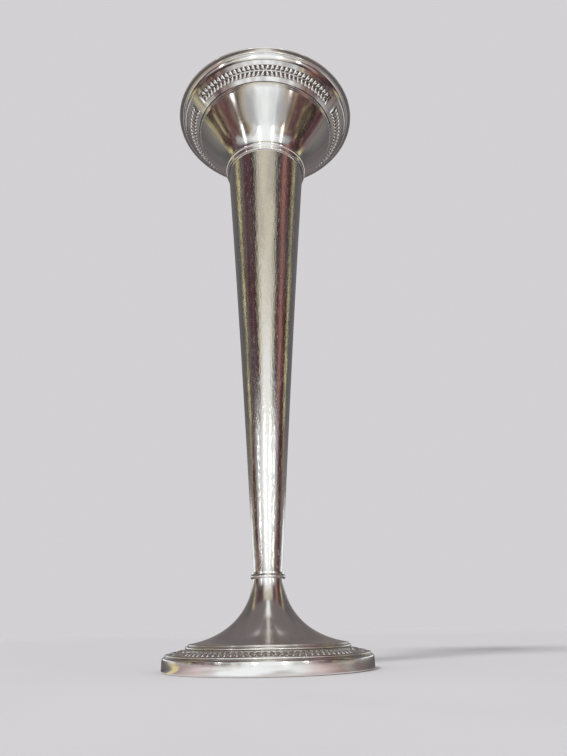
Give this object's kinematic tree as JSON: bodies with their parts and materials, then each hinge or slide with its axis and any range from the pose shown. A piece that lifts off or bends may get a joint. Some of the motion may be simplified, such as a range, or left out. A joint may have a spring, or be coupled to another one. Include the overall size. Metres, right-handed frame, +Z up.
{
  "type": "bud vase",
  "caption": "Tall polished silver trumpet bud vase: a tapered tube for cut stems, a flared mouth with a leaf border, and a weighted round foot with a matching border.",
  "frame": {"origin": "centre of the foot's underside, on the surface that the vase stands on", "axes": "+Z up along the vase's axis, -Y to the front"},
  "size_m": [0.0882, 0.0884, 0.254],
  "materials": {
    "polished_silver": "polished, fine hairline scratches, slight warm tarnish",
    "border_silver": "polished on the leaves, dark in the recesses",
    "base_silver": "satin, scuffed by use",
    "weighting": "rough cast cement, hidden"
  },
  "bodies": {
    "root": {"mouth_rim": "polished_silver", "bell": "polished_silver", "neck_ring": "polished_silver", "body_tube": "polished_silver", "collar_ring": "polished_silver", "foot_shell": "polished_silver", "foot_band": "polished_silver", "stem_plug": "polished_silver", "mouth_border": "border_silver", "foot_border": "border_silver", "base_plate": "base_silver", "weight_fill": "weighting"}
  },
  "joints": []
}
